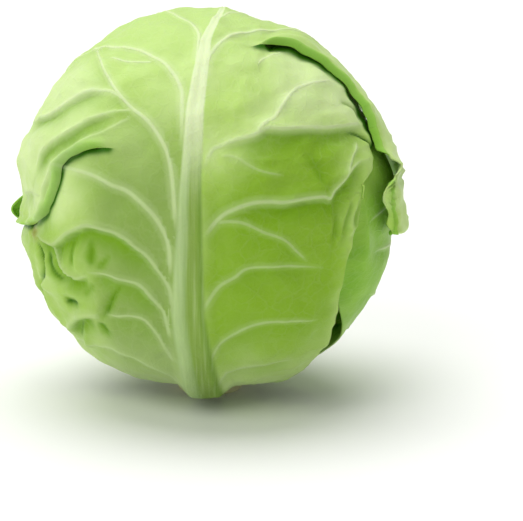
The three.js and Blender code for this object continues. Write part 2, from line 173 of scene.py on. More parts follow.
# Veins, ridges and creases drawn on a chart. Each stroke has its points, its half width and height in mm
# from start to end, and, unless it has neither, the depth in mm of the hollow on its stem side and how pale
# it shows. Veins and their branches are kept apart, so that neither breaks the other's line. The hollows
# beside veins and the creases also get painted shade, and deep creases a darker painted shade along their
# floor.
def drawn(place, strokes):
    count = len(place)
    rise, hollow, creaseShade, shade = (np.zeros(count) for _ in range(4))
    marks = {"rise": rise, "hollow": hollow, "creaseShade": creaseShade, "shade": shade}
    for kind in ("vein", "branch"):
        marks[kind + "Offset"], marks[kind + "Clear"] = np.full(count, 9.0), np.full(count, 99.0)
        marks[kind + "Width"], marks[kind + "Pale"] = np.zeros(count), np.zeros(count)
    earlier = []
    for points, (wideStart, wideEnd), (highStart, highEnd), *more in strokes:
        under, paleness = more or (0, 0)
        path = smoothPath(points)
        isBranch = any(alongPath(path[:1], other)[0][0] < branchReach for other in earlier)
        earlier.append(path)
        near = (place > path.min(0) - strokeReach) & (place < path.max(0) + strokeReach)
        index = np.nonzero(np.all(near, axis=1))[0]
        gap, side, share = alongPath(place[index], path)
        wide = wideStart + (wideEnd - wideStart) * share
        high = highStart + (highEnd - highStart) * share
        profile = bump(gap, wide * 1.25)
        if min(highStart, highEnd) < 0:
            ends = smooth(share, -0.1, 0.25) * (1 - 0.7 * smooth(share, 0.7, 1))
            hollow[index] = np.maximum(hollow[index], -high * profile * ends)
            # Painted shade: darkest green along a deep crease's floor, and shade across the whole crease.
            darkness = np.clip(-high - 0.8, 0, 2) * 0.6 * bump(gap, wide * 0.7) * ends
            creaseShade[index] = np.maximum(creaseShade[index], darkness)
            shade[index] = np.maximum(shade[index], np.minimum(-high * 0.75, 1) * profile * ends)
            continue
        ends = smooth(share, 0, 0.06) * (1 - 0.8 * smooth(share, 0.85, 1))
        rise[index] = np.maximum(rise[index], high * profile * ends)
        stemSide = side * (1 if points[-1][0] < points[0][0] else -1)
        below = gap * stemSide - wide - 1.4
        bowl = np.where(below < 0, bump(below, 1.6), bump(below, 8)) * smooth(share, 0.05, 0.4) * ends
        hollow[index] = np.maximum(hollow[index], under * bowl)
        # Painted shade across the hollow on the vein's stem side.
        shade[index] = np.maximum(shade[index], np.minimum(under * 0.6, 1) * bowl)
        if paleness > 0:
            kind = "branch" if isBranch else "vein"
            clear = gap - wide
            closer = clear < marks[kind + "Clear"][index]
            beaten = index[closer]
            marks[kind + "Clear"][beaten] = clear[closer]
            marks[kind + "Offset"][beaten] = (gap * side)[closer]
            marks[kind + "Width"][beaten] = (wide * (1 - smooth(gap, *veinReach)))[closer]
            marks[kind + "Pale"][beaten] = (paleness * ends)[closer]
    return marks


# The offset from the nearest vein changes sign midway between two veins as well. A face whose corners
# are further apart in offset than in place spans such a change, and no vein may show across it.
def clearBetweenVeins(bm, place, marks):
    bm.verts.index_update()
    faces = np.array([[v.index for v in face.verts] for face in bm.faces])
    for kind in ("vein", "branch"):
        offset, width = marks[kind + "Offset"], marks[kind + "Width"]
        shown = width.copy()
        for a, b in ((0, 1), (1, 2), (2, 3), (3, 0), (0, 2), (1, 3)):
            one, other = faces[:, a], faces[:, b]
            span = np.hypot(*(place[one] - place[other]).T) * mmPerDegree
            apart = np.abs(offset[one] - offset[other])
            false = (offset[one] * offset[other] < 0) & (apart > 1.15 * span + 0.4)
            for near, far in ((one, other), (other, one)):
                limit = np.minimum(np.abs(offset[far]), 0.9 * width[near])
                shown[near[false & (np.abs(offset[near]) >= limit)]] = 0
        marks[kind + "Width"] = shown


def blisters(direction, layers, seed):
    height = np.zeros(len(direction))
    for scale, amount in layers:
        for k, d in enumerate(direction * (head["radius"] / scale)):
            height[k] += amount * noise.noise(Vector(d) + Vector((seed, seed * 1.7, 0)))
    return height


wrinkleForm = {"length": 30, "gap": 8, "slant": 14}  # mm, mm, degrees up from level


# Long low wrinkles that run out from the rib as the side veins do.
def wrinkles(place, seed):
    slant = math.radians(wrinkleForm["slant"])
    height = np.zeros(len(place))
    for k, (across, along) in enumerate(place * mmPerDegree):
        outward = abs(across) * math.cos(slant) + along * math.sin(slant)
        upward = along * math.cos(slant) - abs(across) * math.sin(slant)
        spot = (outward / wrinkleForm["length"], upward / wrinkleForm["gap"], seed + (across > 0) * 9)
        height[k] = 0.35 - abs(noise.noise(Vector(spot)))
    return height


# The right fold's lip has frills (share along it, spread, degrees aside, mm off the head) on ruffles
# (share, spread, mm).
lipFrills = [(0.845, 0.026, 6.0, 2.6), (0.91, 0.026, -3.5, -0.6), (0.965, 0.024, -2.6, -0.8)]
lipRuffles = [(0.85, 0.04, 1.4), (0.76, 0.05, -1.2), (0.66, 0.05, 1.2), (0.5, 0.06, -0.6)]

# The front leaf, half by half, in rows from the rib to the margin, below and above the slit where that side
# of the leaf is tucked and overlaps itself. The slit's upper lip is lifted, curled and rolled, and the
# lower one tucked in, by mm. The rib's half widths, like its middle, are in degrees.
leftLower = [
    [(0, leafStart), (-2, 12), (-4, 12), (-6, 12), (-8, 12), (-10, 12), (-11, 12), (-12, 12), (-13, 12),
     (-14, 12)],
    [(-2, 32), (-9, 32), (-16, 32), (-23, 32), (-30, 32), (-37, 32), (-43, 32), (-49, 32), (-55, 32),
     (-60, 32)],
    [(-4, 52), (-14, 53), (-24, 53), (-34, 53), (-43, 53), (-52, 52), (-61, 51), (-69, 50), (-77, 49),
     (-85, 48)],
    [(-6, 72), (-16, 74), (-27, 76), (-37, 77), (-46, 77), (-55, 74), (-64, 71), (-73, 68), (-83, 66),
     (-94, 64)],
    [(-5.5, 92), (-17, 96), (-29, 99), (-39, 100), (-47, 98), (-54, 92), (-61, 87), (-70, 83), (-82, 80),
     (-97, 78)],
    [(-5.5, 112), (-18, 118), (-31, 120.5), (-40, 123.5), (-50, 122), (-57, 116), (-61, 107), (-67, 100),
     (-78, 95), (-97, 91)],
]
leftUpper = [
    [(-5.5, 112), (-18, 118), (-31, 120.5), (-41, 120.5), (-49, 117), (-52, 108), (-56, 101), (-64, 95),
     (-77, 91), (-96, 88)],
    [(-5, 128), (-19, 130), (-33, 130), (-45, 128), (-55, 122), (-61, 114), (-67, 107), (-75, 102),
     (-86, 99), (-100, 98)],
    [(-3.5, 146), (-18, 147), (-33, 146), (-46, 143), (-57, 138), (-67, 131), (-76, 124), (-85, 118),
     (-94, 114), (-104, 112)],
    [(0, 163), (-15, 165), (-31, 164), (-46, 160), (-60, 154), (-72, 147), (-83, 140), (-92, 134),
     (-100, 130), (-107, 128)],
    [(5, 182), (-9, 184), (-24, 182), (-39, 178), (-53, 172), (-66, 166), (-78, 160), (-88, 155),
     (-97, 150), (-104, 147)],
    [(9, 207), (-3, 209.5), (-16, 207.5), (-29, 203), (-42, 196.5), (-54, 189.5), (-65, 183.5),
     (-75, 177.5), (-85, 171), (-94, 163)],
]
rightLower = [
    [(0, leafStart), (2, 12), (3, 12), (4, 12), (5, 12), (7, 12), (8, 12), (9, 12), (11, 12), (12, 12),
     (14, 12)],
    [(-2, 32), (2, 32), (6, 32), (10, 32), (14, 33), (18, 33), (22, 33), (26, 33), (30, 33), (33, 33),
     (37, 33)],
    [(-5, 58), (0, 58), (5, 59), (10, 60), (15, 61), (20, 61), (25, 62), (30, 62), (35, 62), (40, 62),
     (44, 61)],
    [(-5.5, 85), (0, 86), (6, 87), (11, 88), (16, 88), (21, 88), (26, 88), (31, 88), (36, 87), (40, 86),
     (44, 84)],
    [(-5.5, 110), (1, 111), (8, 112), (14, 113), (20, 113), (26, 113), (32, 112), (38, 110), (44, 107),
     (48, 103), (51, 98)],
    [(-4.5, 132), (4, 135), (12, 138), (20, 141), (28, 142), (36, 142), (44, 139), (50, 133), (54, 126),
     (55, 118), (52, 109)],
    [(-2.5, 150), (8, 156), (18.5, 161), (28, 169), (39, 171), (50, 168), (61, 160), (69, 149), (72, 137),
     (68.5, 125), (59.8, 114.8)],
]
rightUpper = [
    [(-2.5, 150), (8, 156), (18.5, 161), (29, 164), (40, 161), (51, 155), (60, 147), (66.5, 135),
     (68.5, 122), (66, 106), (71, 89)],
    [(-1, 160), (11, 167), (24, 171), (36, 171), (48, 168), (59, 161), (68, 151), (75, 138), (79, 124),
     (80, 108), (86, 90)],
    [(1, 170), (14, 176), (28, 179), (41, 178), (53, 173), (64, 165), (74, 154), (82, 142), (88, 129),
     (93, 115), (99, 98)],
    [(5, 182), (18, 187), (31, 188), (44, 187), (56, 183), (68, 175), (79, 165), (89, 153), (97, 141),
     (103, 128), (108, 114)],
    [(9, 207), (18, 210.5), (28, 209), (38, 205.5), (48, 201.5), (58, 196.5), (68, 189.5), (78, 181),
     (88, 173), (97, 163.5), (104, 152)],
]
frontLeaf = {
    "azimuth": 0,
    "start": leafStart,
    "tip": 205,
    "rib": [(0, leafStart), (-3, 40), (-6, 70), (-5, 108), (-4, 132), (-1, 160), (5, 182), (9, 205)],
    "ribHalfWidth": [(12, 8.5), (45, 6.0), (76, 4.5), (97, 3.5), (112, 2.9), (135, 2.6), (155, 2.0),
                     (180, 1.3), (205, 0.8)],
    "blade": 0.8,  # mm thick
    "rowsOf": (84, 44, 62),  # rows of cells up to each slit and on to the tip
    "columns": 112,
    "left": {
        "slitRib": 112,
        "slitShare": 2 / 9,
        # A roll's tint is how strongly painted light shows through the lip's edge.
        "roll": {"middle": 2.2, "spread": 1.9, "height": 0.9, "under": 2.2, "dip": 0.5, "tint": 0.5},
        "lift": 2.2,
        "tuck": 2.2,
        "curl": 1.2,
        "curlSpread": 2.0,
        "lower": leftLower,
        "upper": leftUpper,
    },
    "right": {
        "slitRib": 150,
        "slitShare": 2 / 10,
        "roll": {"middle": 1.3, "spread": 1.1, "height": 1.1, "under": 2.4, "dip": 0.9, "tint": 0.85},
        "lift": 2.4,
        "tuck": 3.2,
        "curl": 1.2,
        "curlSpread": 2.2,
        "frills": lipFrills,
        "lower": rightLower,
        "upper": rightUpper,
    },
}

leftVeins = [
    ([(-9, 95), (-10.1, 107.8), (-11.8, 117.8), (-14.9, 124), (-19, 129.2), (-23.7, 133), (-26.8, 136),
      (-31.4, 141.3), (-35.7, 147.3), (-39.5, 153.6), (-43.8, 160.6), (-49.4, 167.7), (-54, 176)],
      (1.18, 0.5), (0.66, 0.36), 0.57, 0.9),
    ([(-25.5, 135), (-31.1, 139.3), (-35, 141.2), (-40.1, 142.2), (-44.7, 141.5), (-49.9, 139.5),
      (-55.6, 137.1), (-61.9, 136.2), (-71, 136), (-84, 137)], (0.93, 0.68), (0.78, 0.54), 2.18, 0.75),
    ([(-23.5, 133), (-27.9, 132.8), (-33.2, 132.6), (-38.1, 131.1), (-43.2, 129.1), (-48.7, 126.6),
      (-54.2, 124.5), (-58.1, 122.3), (-62.2, 118.5), (-66, 112)], (0.99, 0.87), (0.99, 1.17),
      1.95, 0.45),
    ([(-24, 131), (-30.6, 127.4), (-36.8, 125), (-42.3, 122.5), (-47.1, 119.9), (-51.5, 116.4),
      (-55.7, 111.7), (-58.1, 106.5), (-59.4, 100.6), (-63.7, 95.3), (-67.9, 91.6)], (0.74, 1.18),
      (0.36, 1.62), 0.69, 0.4),
    ([(-7.6, 118), (-8.1, 134.3), (-8.7, 139.4), (-10.6, 143.9), (-13.1, 147.7), (-15.7, 150.7),
      (-19.3, 153.4), (-21.4, 154.8), (-26, 157.8), (-32.3, 159.5), (-38.1, 161.1), (-43.4, 162.9),
      (-52, 166), (-64, 166.5), (-78, 163), (-92, 157)], (1.12, 0.5), (0.66, 0.36), 0.34, 0.9),
    ([(-19.5, 151.4), (-25, 151.6), (-29.2, 152.5), (-35.7, 154.7)], (0.5, 0.5), (0.3, 0.18), 0, 0.8),
    ([(-4, 148), (-3.5, 159.9), (-4.1, 165.1), (-6.3, 170.4), (-9.8, 174.9), (-14.9, 180), (-20.1, 185.5),
      (-27, 192), (-34, 197)], (1.05, 0.56), (0.54, 0.36), 0.23, 0.9),
    ([(-11.3, 82), (-11.3, 90), (-12.4, 94.9), (-14.9, 99.2), (-18.2, 102.8), (-21.5, 105.5),
      (-25, 107.7), (-29, 109), (-33.2, 110.8), (-37.2, 112.3), (-42.5, 113.7), (-48.2, 114.8),
      (-55, 116.5)], (1.18, 1.05), (0.48, 0.66), 0.34, 0.8),
    ([(-11.1, 68), (-11.1, 76.4), (-12.7, 80.3), (-15.5, 84.5), (-18.3, 87.7), (-21.6, 90.4), (-25, 93.2),
      (-28.5, 94.8), (-33.1, 95.6), (-38, 96.3), (-42, 95.2), (-46.5, 93), (-50.5, 90), (-54, 88.2),
      (-59, 88.6), (-64.3, 89.4), (-71, 88.6)], (1.18, 1.0), (0.42, 2.2), 2.4, 0.6),
    ([(-54, 88.2), (-52.6, 84.8), (-50.8, 81.4), (-48, 79), (-44.3, 77.6), (-40, 79.2)], (1.05, 0.85),
      (2.0, 1.3), 2.2, 0.6),
    ([(-40.4, 94.5), (-41.3, 90.5), (-42.6, 86), (-43.3, 82.4), (-43.1, 79.5)], (1.5, 1.8), (1.3, 1.6)),
    ([(-47.4, 91), (-48.5, 87), (-49.1, 83.5), (-49.2, 80.4)], (1.3, 1.2), (1.1, 1.0)),
    ([(-66, 70.5), (-60, 69.6), (-54, 70.4), (-48.5, 72), (-44, 74.5), (-39.5, 78)], (2.8, 2.2),
      (1.5, 1.1)),
    ([(-65.9, 69), (-65.2, 63.5), (-64, 58.5), (-62, 53.5), (-60, 47.6)], (2.4, 2.2), (1.4, 1.2)),
    ([(-28, 78.4), (-30.6, 76.8), (-33.3, 74), (-35.4, 70.8), (-37.2, 67.6), (-40.5, 64.8)], (1.5, 2.2),
      (0.9, 1.6)),
    ([(-36.8, 64.6), (-41, 64), (-45.4, 62), (-49.5, 59), (-53.5, 54.5), (-57.5, 48)], (1.5, 2.1),
      (1.3, 1.9), 1.8, 0.4),
    ([(-45, 56), (-46.6, 50), (-48.6, 43)], (2.4, 2.4), (1.9, 1.6)),
    ([(-74, 91), (-74.4, 85), (-74, 78.5), (-73.6, 72), (-74, 65), (-74.5, 58)], (2.6, 2.6), (2.2, 1.6),
      0, 0.35),
    ([(-12, 60), (-13.5, 69.2), (-15.5, 72.4), (-18.3, 75.9), (-21.2, 78.4), (-24.6, 79.4), (-29.1, 80.1),
      (-33.8, 80.7), (-39.5, 80.4)], (1.18, 0.68), (0.42, 0.78), 1.15, 0.6),
    ([(-12, 48), (-15, 58), (-18, 64), (-21, 67.2), (-27.9, 66.7), (-34.5, 65.1)], (1.18, 0.62),
      (0.42, 0.48), 0.46, 0.6),
    ([(-60, 104.9), (-69.7, 105.7), (-80.4, 105), (-92, 103)], (0.68, 0.56), (0.54, 0.36), 0.69, 0.8),
    ([(-10, 32), (-16, 42), (-26, 48), (-38, 49), (-50, 45), (-62, 42)], (1.18, 0.62), (0.54, 0.3),
      0.34, 0.6),
]
rightVeins = [
    ([(-1, 142), (-0.7, 148.4), (1.2, 154.1), (3.6, 158.6), (7.1, 162.9), (12.3, 166.5), (17.9, 169.2),
      (25, 171.5), (32.3, 173.9), (40, 174.5), (52, 173), (64, 167), (77, 157), (89, 144), (98, 130)],
      (1.12, 0.5), (0.66, 0.4), 0.34, 0.95),
    ([(59, 169.8), (70, 169), (82, 164), (93, 157)], (0.7, 0.45), (0.42, 0.3), 0.23, 0.8),
    ([(79, 155), (86, 154), (95, 148)], (0.6, 0.4), (0.4, 0.3), 0.2, 0.7),
    ([(-1.5, 113), (1, 119.4), (4.2, 121), (7.9, 122.7), (11.2, 123.5), (14.2, 124.4), (16.8, 126.1),
      (18.9, 126.6), (22.9, 126.5), (27.4, 127.1), (33.7, 127.8), (39.4, 128), (45, 128.8), (50, 130),
      (55, 131.4), (60, 132.8)], (1.12, 0.9), (0.42, 1.2), 1.95, 0.75),
    ([(14.2, 124.4), (17.3, 128.3), (20.9, 130.6), (23.5, 134.4), (27.3, 139.4), (30.6, 141.8),
      (35.1, 143.9), (39.3, 145.3), (43.9, 147), (51, 148.5)], (1.12, 0.68), (0.66, 0.54), 0.34, 0.95),
    ([(16.6, 149.3), (18.8, 152.7), (22.2, 156.2), (25.6, 158.1), (28.4, 161.5)], (0.56, 0.5),
      (0.3, 0.18), 0, 0.75),
    ([(-1.5, 94), (2.4, 98.8), (5.1, 101.1), (8.7, 102.7), (13.1, 104), (18, 104.3), (22.2, 104),
      (27.5, 104.7), (32, 105.2), (35.8, 105.3), (37.8, 104.8), (40.4, 107.2), (43.7, 110.2),
      (46.2, 113.7), (50.1, 116.4), (55, 117.6)], (1.12, 0.68), (0.48, 1.02), 1.49, 0.85),
    ([(43.7, 110.2), (45, 112.4), (46.5, 116.4), (49.3, 120.1), (52.5, 124)], (0.62, 0.56), (0.72, 0.48),
      0.34, 0.8),
    ([(3.6, 117.8), (8, 117.4), (12.1, 115), (16.5, 113), (22.4, 112.1)], (0.93, 0.56), (0.36, 0.27),
      0, 0.35),
    ([(2.4, 98.4), (7.1, 98.7), (11.1, 97.9), (16.4, 95.3), (22.3, 93), (26.7, 89), (30, 85.7)],
      (0.87, 0.56), (0.63, 0.45), 0.57, 0.5),
    ([(-2, 72), (3, 79), (7.7, 81.9), (10.8, 84.4), (14.9, 84.9), (19.9, 84.8), (25.1, 84.4), (36, 83)],
      (1.05, 0.56), (0.63, 0.54), 0.69, 0.55),
    ([(38.2, 104.6), (38.6, 101), (38.7, 97), (38.2, 91.4)], (1.2, 1.0), (1.0, 0.6)),
    ([(46.2, 104.5), (44.6, 100), (42.8, 95.4), (40.3, 90.1)], (1.2, 1.0), (1.1, 0.6)),
    ([(50, 106), (48.8, 101.6), (47, 97.4), (45, 92.4)], (1.2, 1.0), (1.1, 0.6)),
    ([(27.6, 118.6), (30.4, 114.6), (33.4, 110.4), (37, 106.4)], (2.2, 2.0), (0.6, 0.9)),
    ([(-1, 50), (5, 60), (14, 65), (24, 66), (36, 64)], (1.12, 0.56), (0.48, 0.3), 0.46, 0.6),
    ([(-1, 32), (6, 42), (16, 46), (30, 46)], (1.18, 0.62), (0.54, 0.3), 0.34, 0.6),
    ([(4, 176), (12, 185), (24, 190), (38, 191.5), (52, 189), (66, 182), (78, 174)], (0.8, 0.45),
      (0.45, 0.3), 0.23, 0.8),
    ([(66, 112), (76, 113), (88, 115)], (0.74, 0.56), (1.44, 0.9), 0.92, 0.3),
]
frontCreases = [
    ([(-45, 92), (-45.2, 88.5), (-45.7, 85), (-46.4, 81)], (1.9, 2.0), (-1.3, -1.3)),
    ([(-38, 92.5), (-37.2, 89), (-37.6, 85.5), (-38.8, 82.5)], (3.2, 3.0), (-1.2, -1.5)),
    ([(-51, 88.5), (-51.4, 86), (-51.2, 83.8)], (1.6, 1.6), (-1.2, -1.2)),
    ([(-29.6, 87.4), (-31.6, 86), (-33.6, 84), (-36, 81.6)], (1.3, 2.0), (-0.8, -1.4)),
    ([(-58.8, 85), (-57.9, 81.6), (-56.4, 78), (-53.2, 75.2), (-48.5, 75.4)], (2.6, 2.8), (-2.2, -1.6)),
    ([(-66.5, 86.5), (-63.6, 83), (-62.4, 79), (-63.6, 74.2), (-67, 69.4), (-70.6, 63.5), (-73, 57)],
      (1.7, 1.5), (-3.4, -2.2)),
    ([(-53, 65.2), (-50.6, 65.8), (-48.2, 66.4), (-45.4, 67.4)], (3.0, 2.6), (-2.4, -2.0)),
    ([(-43.4, 70.6), (-41, 72.8), (-38.8, 75), (-36.8, 77)], (2.4, 2.0), (-1.1, -1.0)),
    ([(-25.6, 78.4), (-28.2, 76.2), (-30.4, 73), (-32.2, 69.6), (-34, 66.4), (-35.6, 64)], (1.8, 1.8),
      (-1.2, -1.8)),
    ([(-37.4, 61.4), (-36.4, 58.8), (-35.6, 55)], (3.4, 3.0), (-1.5, -1.4)),
    ([(-47.4, 57), (-49.2, 53), (-51.6, 47)], (1.5, 1.5), (-1.8, -1.4)),
    ([(30.8, 120.4), (32.8, 117), (34.6, 113.4), (36.6, 108.4)], (3.6, 2.6), (-0.6, -1.3)),
    ([(47.6, 138.8), (51.6, 139.8), (56, 139.9), (59.6, 138.6), (61, 135)], (1.4, 1.9), (-1.1, -2.4)),
    ([(46.8, 126.2), (50.4, 127.4), (55, 127.5), (60, 126.4), (64.6, 124.2), (68, 121)], (1.5, 2.1),
      (-1.5, -3.0)),
    ([(41.6, 103.4), (41, 99), (40.2, 95), (39.4, 91)], (1.9, 1.8), (-0.9, -0.8)),
    ([(47.8, 104.5), (46, 99.4), (44.2, 95), (42.7, 91)], (1.7, 1.6), (-0.9, -0.8)),
    ([(51.8, 104.5), (50.4, 100), (49, 96), (47.6, 92)], (1.8, 1.6), (-0.9, -0.8)),
]

ribHeight = (5.2, 0.9)  # mm, at the stem and past the leaf's middle


def ribPosition(place, leaf):
    middle, width = np.array(leaf["rib"], float), np.array(leaf["ribHalfWidth"], float)
    ribAt = np.interp(place[:, 1], middle[:, 1], middle[:, 0])
    return (place[:, 0] - ribAt) / np.interp(place[:, 1], width[:, 0], width[:, 1])


def ribRelief(place, leaf):
    across = ribPosition(place, leaf)
    height = ribHeight[0] + (ribHeight[1] - ribHeight[0]) * smooth(place[:, 1], 10, 150)
    skirt = 1 + 3.2 / np.maximum(height, 1)
    body = 1 - smooth(np.abs(across), 0.6, skirt)
    edges = 0.3 * bump(across + 0.7, 0.22) + 0.2 * bump(across - 0.72, 0.2)
    groove = 0.3 * bump(across - 0.05, 0.3) * smooth(place[:, 1], 105, 135)
    return (height * body + edges - groove) * (1 - smooth(place[:, 1], 185, 205))


slitForm = {
    "lipEase": 15,  # degrees along the rib over which the lifted lip comes down
    "tuckEase": 11,
    "frillEase": 4.5,
    "openOver": 1.5 / 24,  # share of a row over which the slit opens
    "joined": (0.05, 0.11),  # share past the slit's end where the row below leaves the lip
    "joinedEase": 12,  # degrees along the rib
}


# Chart places of half a leaf, and the lift off the head at its slit.
def halfPlaces(half, ribAlong, share, above):
    lower = rowPlaces(half["lower"], ribAlong, share)
    if "slitRib" not in half:
        return lower, np.zeros(len(share))
    slitRib, slitShare = half["slitRib"], half["slitShare"]
    atSlit = np.full(len(share), float(slitRib))
    lip, tucked = rowPlaces(half["upper"], atSlit, share), rowPlaces(half["lower"], atSlit, share)
    fromSlit = np.abs(ribAlong - slitRib)
    past = smooth(share - slitShare, *slitForm["joined"])
    lower += (lip - tucked) * ((1 - past) * (1 - smooth(fromSlit, 0, slitForm["joinedEase"])))[:, None]
    place = np.where(above[:, None], rowPlaces(half["upper"], ribAlong, share), lower)
    opening = smooth(share, slitShare, slitShare + slitForm["openOver"])
    lifted = half["lift"] * bump(fromSlit, slitForm["lipEase"])
    lifted -= half["curl"] * bump(fromSlit, half["curlSpread"])
    lift = np.where(above, lifted, -half["tuck"] * bump(fromSlit, slitForm["tuckEase"])) * opening
    for at, spread, aside, proud in half.get("frills", []):
        frill = above * bump(share - at, spread) * bump(fromSlit, slitForm["frillEase"])
        place[:, 0] += aside * frill
        lift += proud * frill
    return place, lift


# Rows stand closest at the slits, where the folds' lips are tightly rolled.
def stations(leaf):
    if "slitRib" not in leaf["left"]:
        return np.linspace(leaf["start"], leaf["tip"], leaf["rowsOf"][0] + 1)
    breaks = [leaf["start"], leaf["left"]["slitRib"], leaf["right"]["slitRib"], leaf["tip"]]
    toSlit, between, fromSlit = (np.linspace(0, 1, count + 1)[1:] for count in leaf["rowsOf"])
    shares = [1 - (1 - toSlit) ** 1.2, between - 0.5 * np.sin(math.tau * between) / math.tau, fromSlit**1.3]
    steps = [breaks[k] + (breaks[k + 1] - breaks[k]) * share for k, share in enumerate(shares)]
    return np.concatenate([[leaf["start"]], *steps])


# A grid for a leaf, cut along its slits, with what each of its points is.
def leafGrid(leaf):
    along = stations(leaf)
    rows, columns = len(along) - 1, leaf["columns"]
    bm = bmesh.new()
    bmesh.ops.create_grid(bm, x_segments=2 * columns, y_segments=rows, size=1)

    def rowOf(vert):
        return round((vert.co.y + 1) / 2 * rows)

    def columnOf(vert):
        return round(vert.co.x * columns)

    cuts = []
    for side, half in ((-1, leaf["left"]), (1, leaf["right"])):
        if "slitRib" in half:
            slitRow = int(np.argmin(np.abs(along - half["slitRib"])))
            first = math.ceil(half["slitShare"] * columns)

            def onSlit(vert):
                return rowOf(vert) == slitRow and side * columnOf(vert) >= first

            cuts += [edge for edge in bm.edges if all(onSlit(v) for v in edge.verts)]
    if cuts:
        bmesh.ops.split_edges(bm, edges=cuts)
    ribAlong = along[[rowOf(v) for v in bm.verts]]
    across = np.array([columnOf(v) for v in bm.verts]) / columns
    onTop = np.array([sum(f.calc_center_median().y - v.co.y for f in v.link_faces) > 0 for v in bm.verts])
    share = np.abs(across)
    parts, ribLines = [], []
    for half in (leaf["left"], leaf["right"]):
        slitRib = half.get("slitRib", 999)
        above = (ribAlong > slitRib + 1e-6) | ((np.abs(ribAlong - slitRib) < 1e-6) & onTop)
        parts.append((*halfPlaces(half, ribAlong, share, above), above))
        ribLines.append(halfPlaces(half, ribAlong, share * 0, above)[0])
    parts[0][0][:] += (ribLines[1] - ribLines[0]) * (1 - smooth(share, 0, 0.1))[:, None]  # one rib for both
    isLeft = across < 0
    place = np.where(isLeft[:, None], parts[0][0], parts[1][0])
    lift, above = (np.where(isLeft, parts[0][k], parts[1][k]) for k in (1, 2))
    points = {"place": place, "lift": lift, "above": above}
    return bm, {**points, "share": share, "ribAlong": ribAlong, "isLeft": isLeft}


def inScene(name, data):
    thing = bpy.data.objects.new(name, data)
    bpy.context.scene.collection.objects.link(thing)
    return thing


def finishedPiece(name, bm, points, attributes, material):
    for vert, point in zip(bm.verts, points):
        vert.co = point
    bmesh.ops.recalc_face_normals(bm, faces=bm.faces)
    middle = Vector((0, 0, head["centreHeight"] * mm))
    facing = sum((f.calc_center_median() - middle).dot(f.normal) for f in bm.faces)
    if facing < 0:
        bmesh.ops.reverse_faces(bm, faces=bm.faces)
    mesh = bpy.data.meshes.new(name)
    bm.to_mesh(mesh)
    bm.free()
    mesh.shade_smooth()
    for key, values in attributes.items():
        kind, field = ("FLOAT", "value") if np.ndim(values) == 1 else ("FLOAT_VECTOR", "vector")
        data = mesh.attributes.new(key, kind, "POINT").data
        data.foreach_set(field, values.astype(np.float32).ravel())
    mesh.materials.append(material)
    return inScene(name, mesh)


def thicken(piece, blade):
    solid = piece.modifiers.new("blade", "SOLIDIFY")
    solid.thickness = blade * mm
    solid.offset = -1


def standFor(piece, node):
    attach(piece, "root")
    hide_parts(node)


def placed(direction, reach):
    return (direction * reach[:, None] + np.array([0, 0, head["centreHeight"]])) * mm


# The margin of a leaf as one outline on its chart, and how far inside it directions lie.
def outlineOf(leaf):
    sides = []
    for half in (leaf["right"], leaf["left"]):
        rows = half["lower"] + half.get("upper", [])
        sides.append([row[-1] for row in rows] + rows[-1][:-1][::-1])
    outline = sides[0] + sides[1][::-1]
    return np.array(outline + outline[:1], float)


def insideLeaf(leaf, direction):
    place = chartOf(leaf["azimuth"], direction)
    outline = leaf["outline"]
    inside = np.zeros(len(place), bool)
    for (ax, ay), (bx, by) in zip(outline[:-1], outline[1:]):
        if ay != by:
            leftOf = place[:, 0] < (bx - ax) * (place[:, 1] - ay) / (by - ay) + ax
            inside ^= ((ay > place[:, 1]) != (by > place[:, 1])) & leftOf
    gap = alongPath(place, outline)[0] / mmPerDegree
    return np.where(inside, gap, -gap)


marginBlend = (3, 15)  # degrees past an outer leaf's margin, where the leaf below comes up


def exposure(outerLeaves, direction):
    bare = np.ones(len(direction))
    for leaf in outerLeaves:
        bare *= smooth(-insideLeaf(leaf, direction), *marginBlend)
    return bare


# One function turns sRGB hex to linear, and one adds a node with its settings and links.
def linear(hexColour):
    channels = [int(hexColour[k:k + 2], 16) / 255 for k in (1, 3, 5)]
    return tuple(c / 12.92 if c <= 0.04045 else ((c + 0.055) / 1.055) ** 2.4 for c in channels) + (1,)


def add(tree, kind, output, inputs, **settings):
    node = tree.nodes.new(kind)
    for key, value in settings.items():
        setattr(node, key, value)
    for key, value in inputs.items():
        if isinstance(value, bpy.types.NodeSocket):
            tree.links.new(value, node.inputs[key])
        else:
            node.inputs[key].default_value = value
    return node.outputs[output]


def newMaterial(name, finish):
    material = bpy.data.materials.new(name)
    material.use_nodes = True
    shader = material.node_tree.nodes["Principled BSDF"]
    for key, value in finish.items():
        shader.inputs[key].default_value = value
    return material, material.node_tree, shader


leafFinish = {
    "IOR": 1.38,
    "Specular IOR Level": 0.1,
    "Subsurface Weight": 0.2,
    "Subsurface Radius": (0.7, 1.0, 0.25),
    "Subsurface Scale": 3 * mm,
}
leafPatterns = {"patch": 26, "warp": 7, "mesh": 7, "fineMesh": 2.8, "speck": 1.1}  # sizes in mm
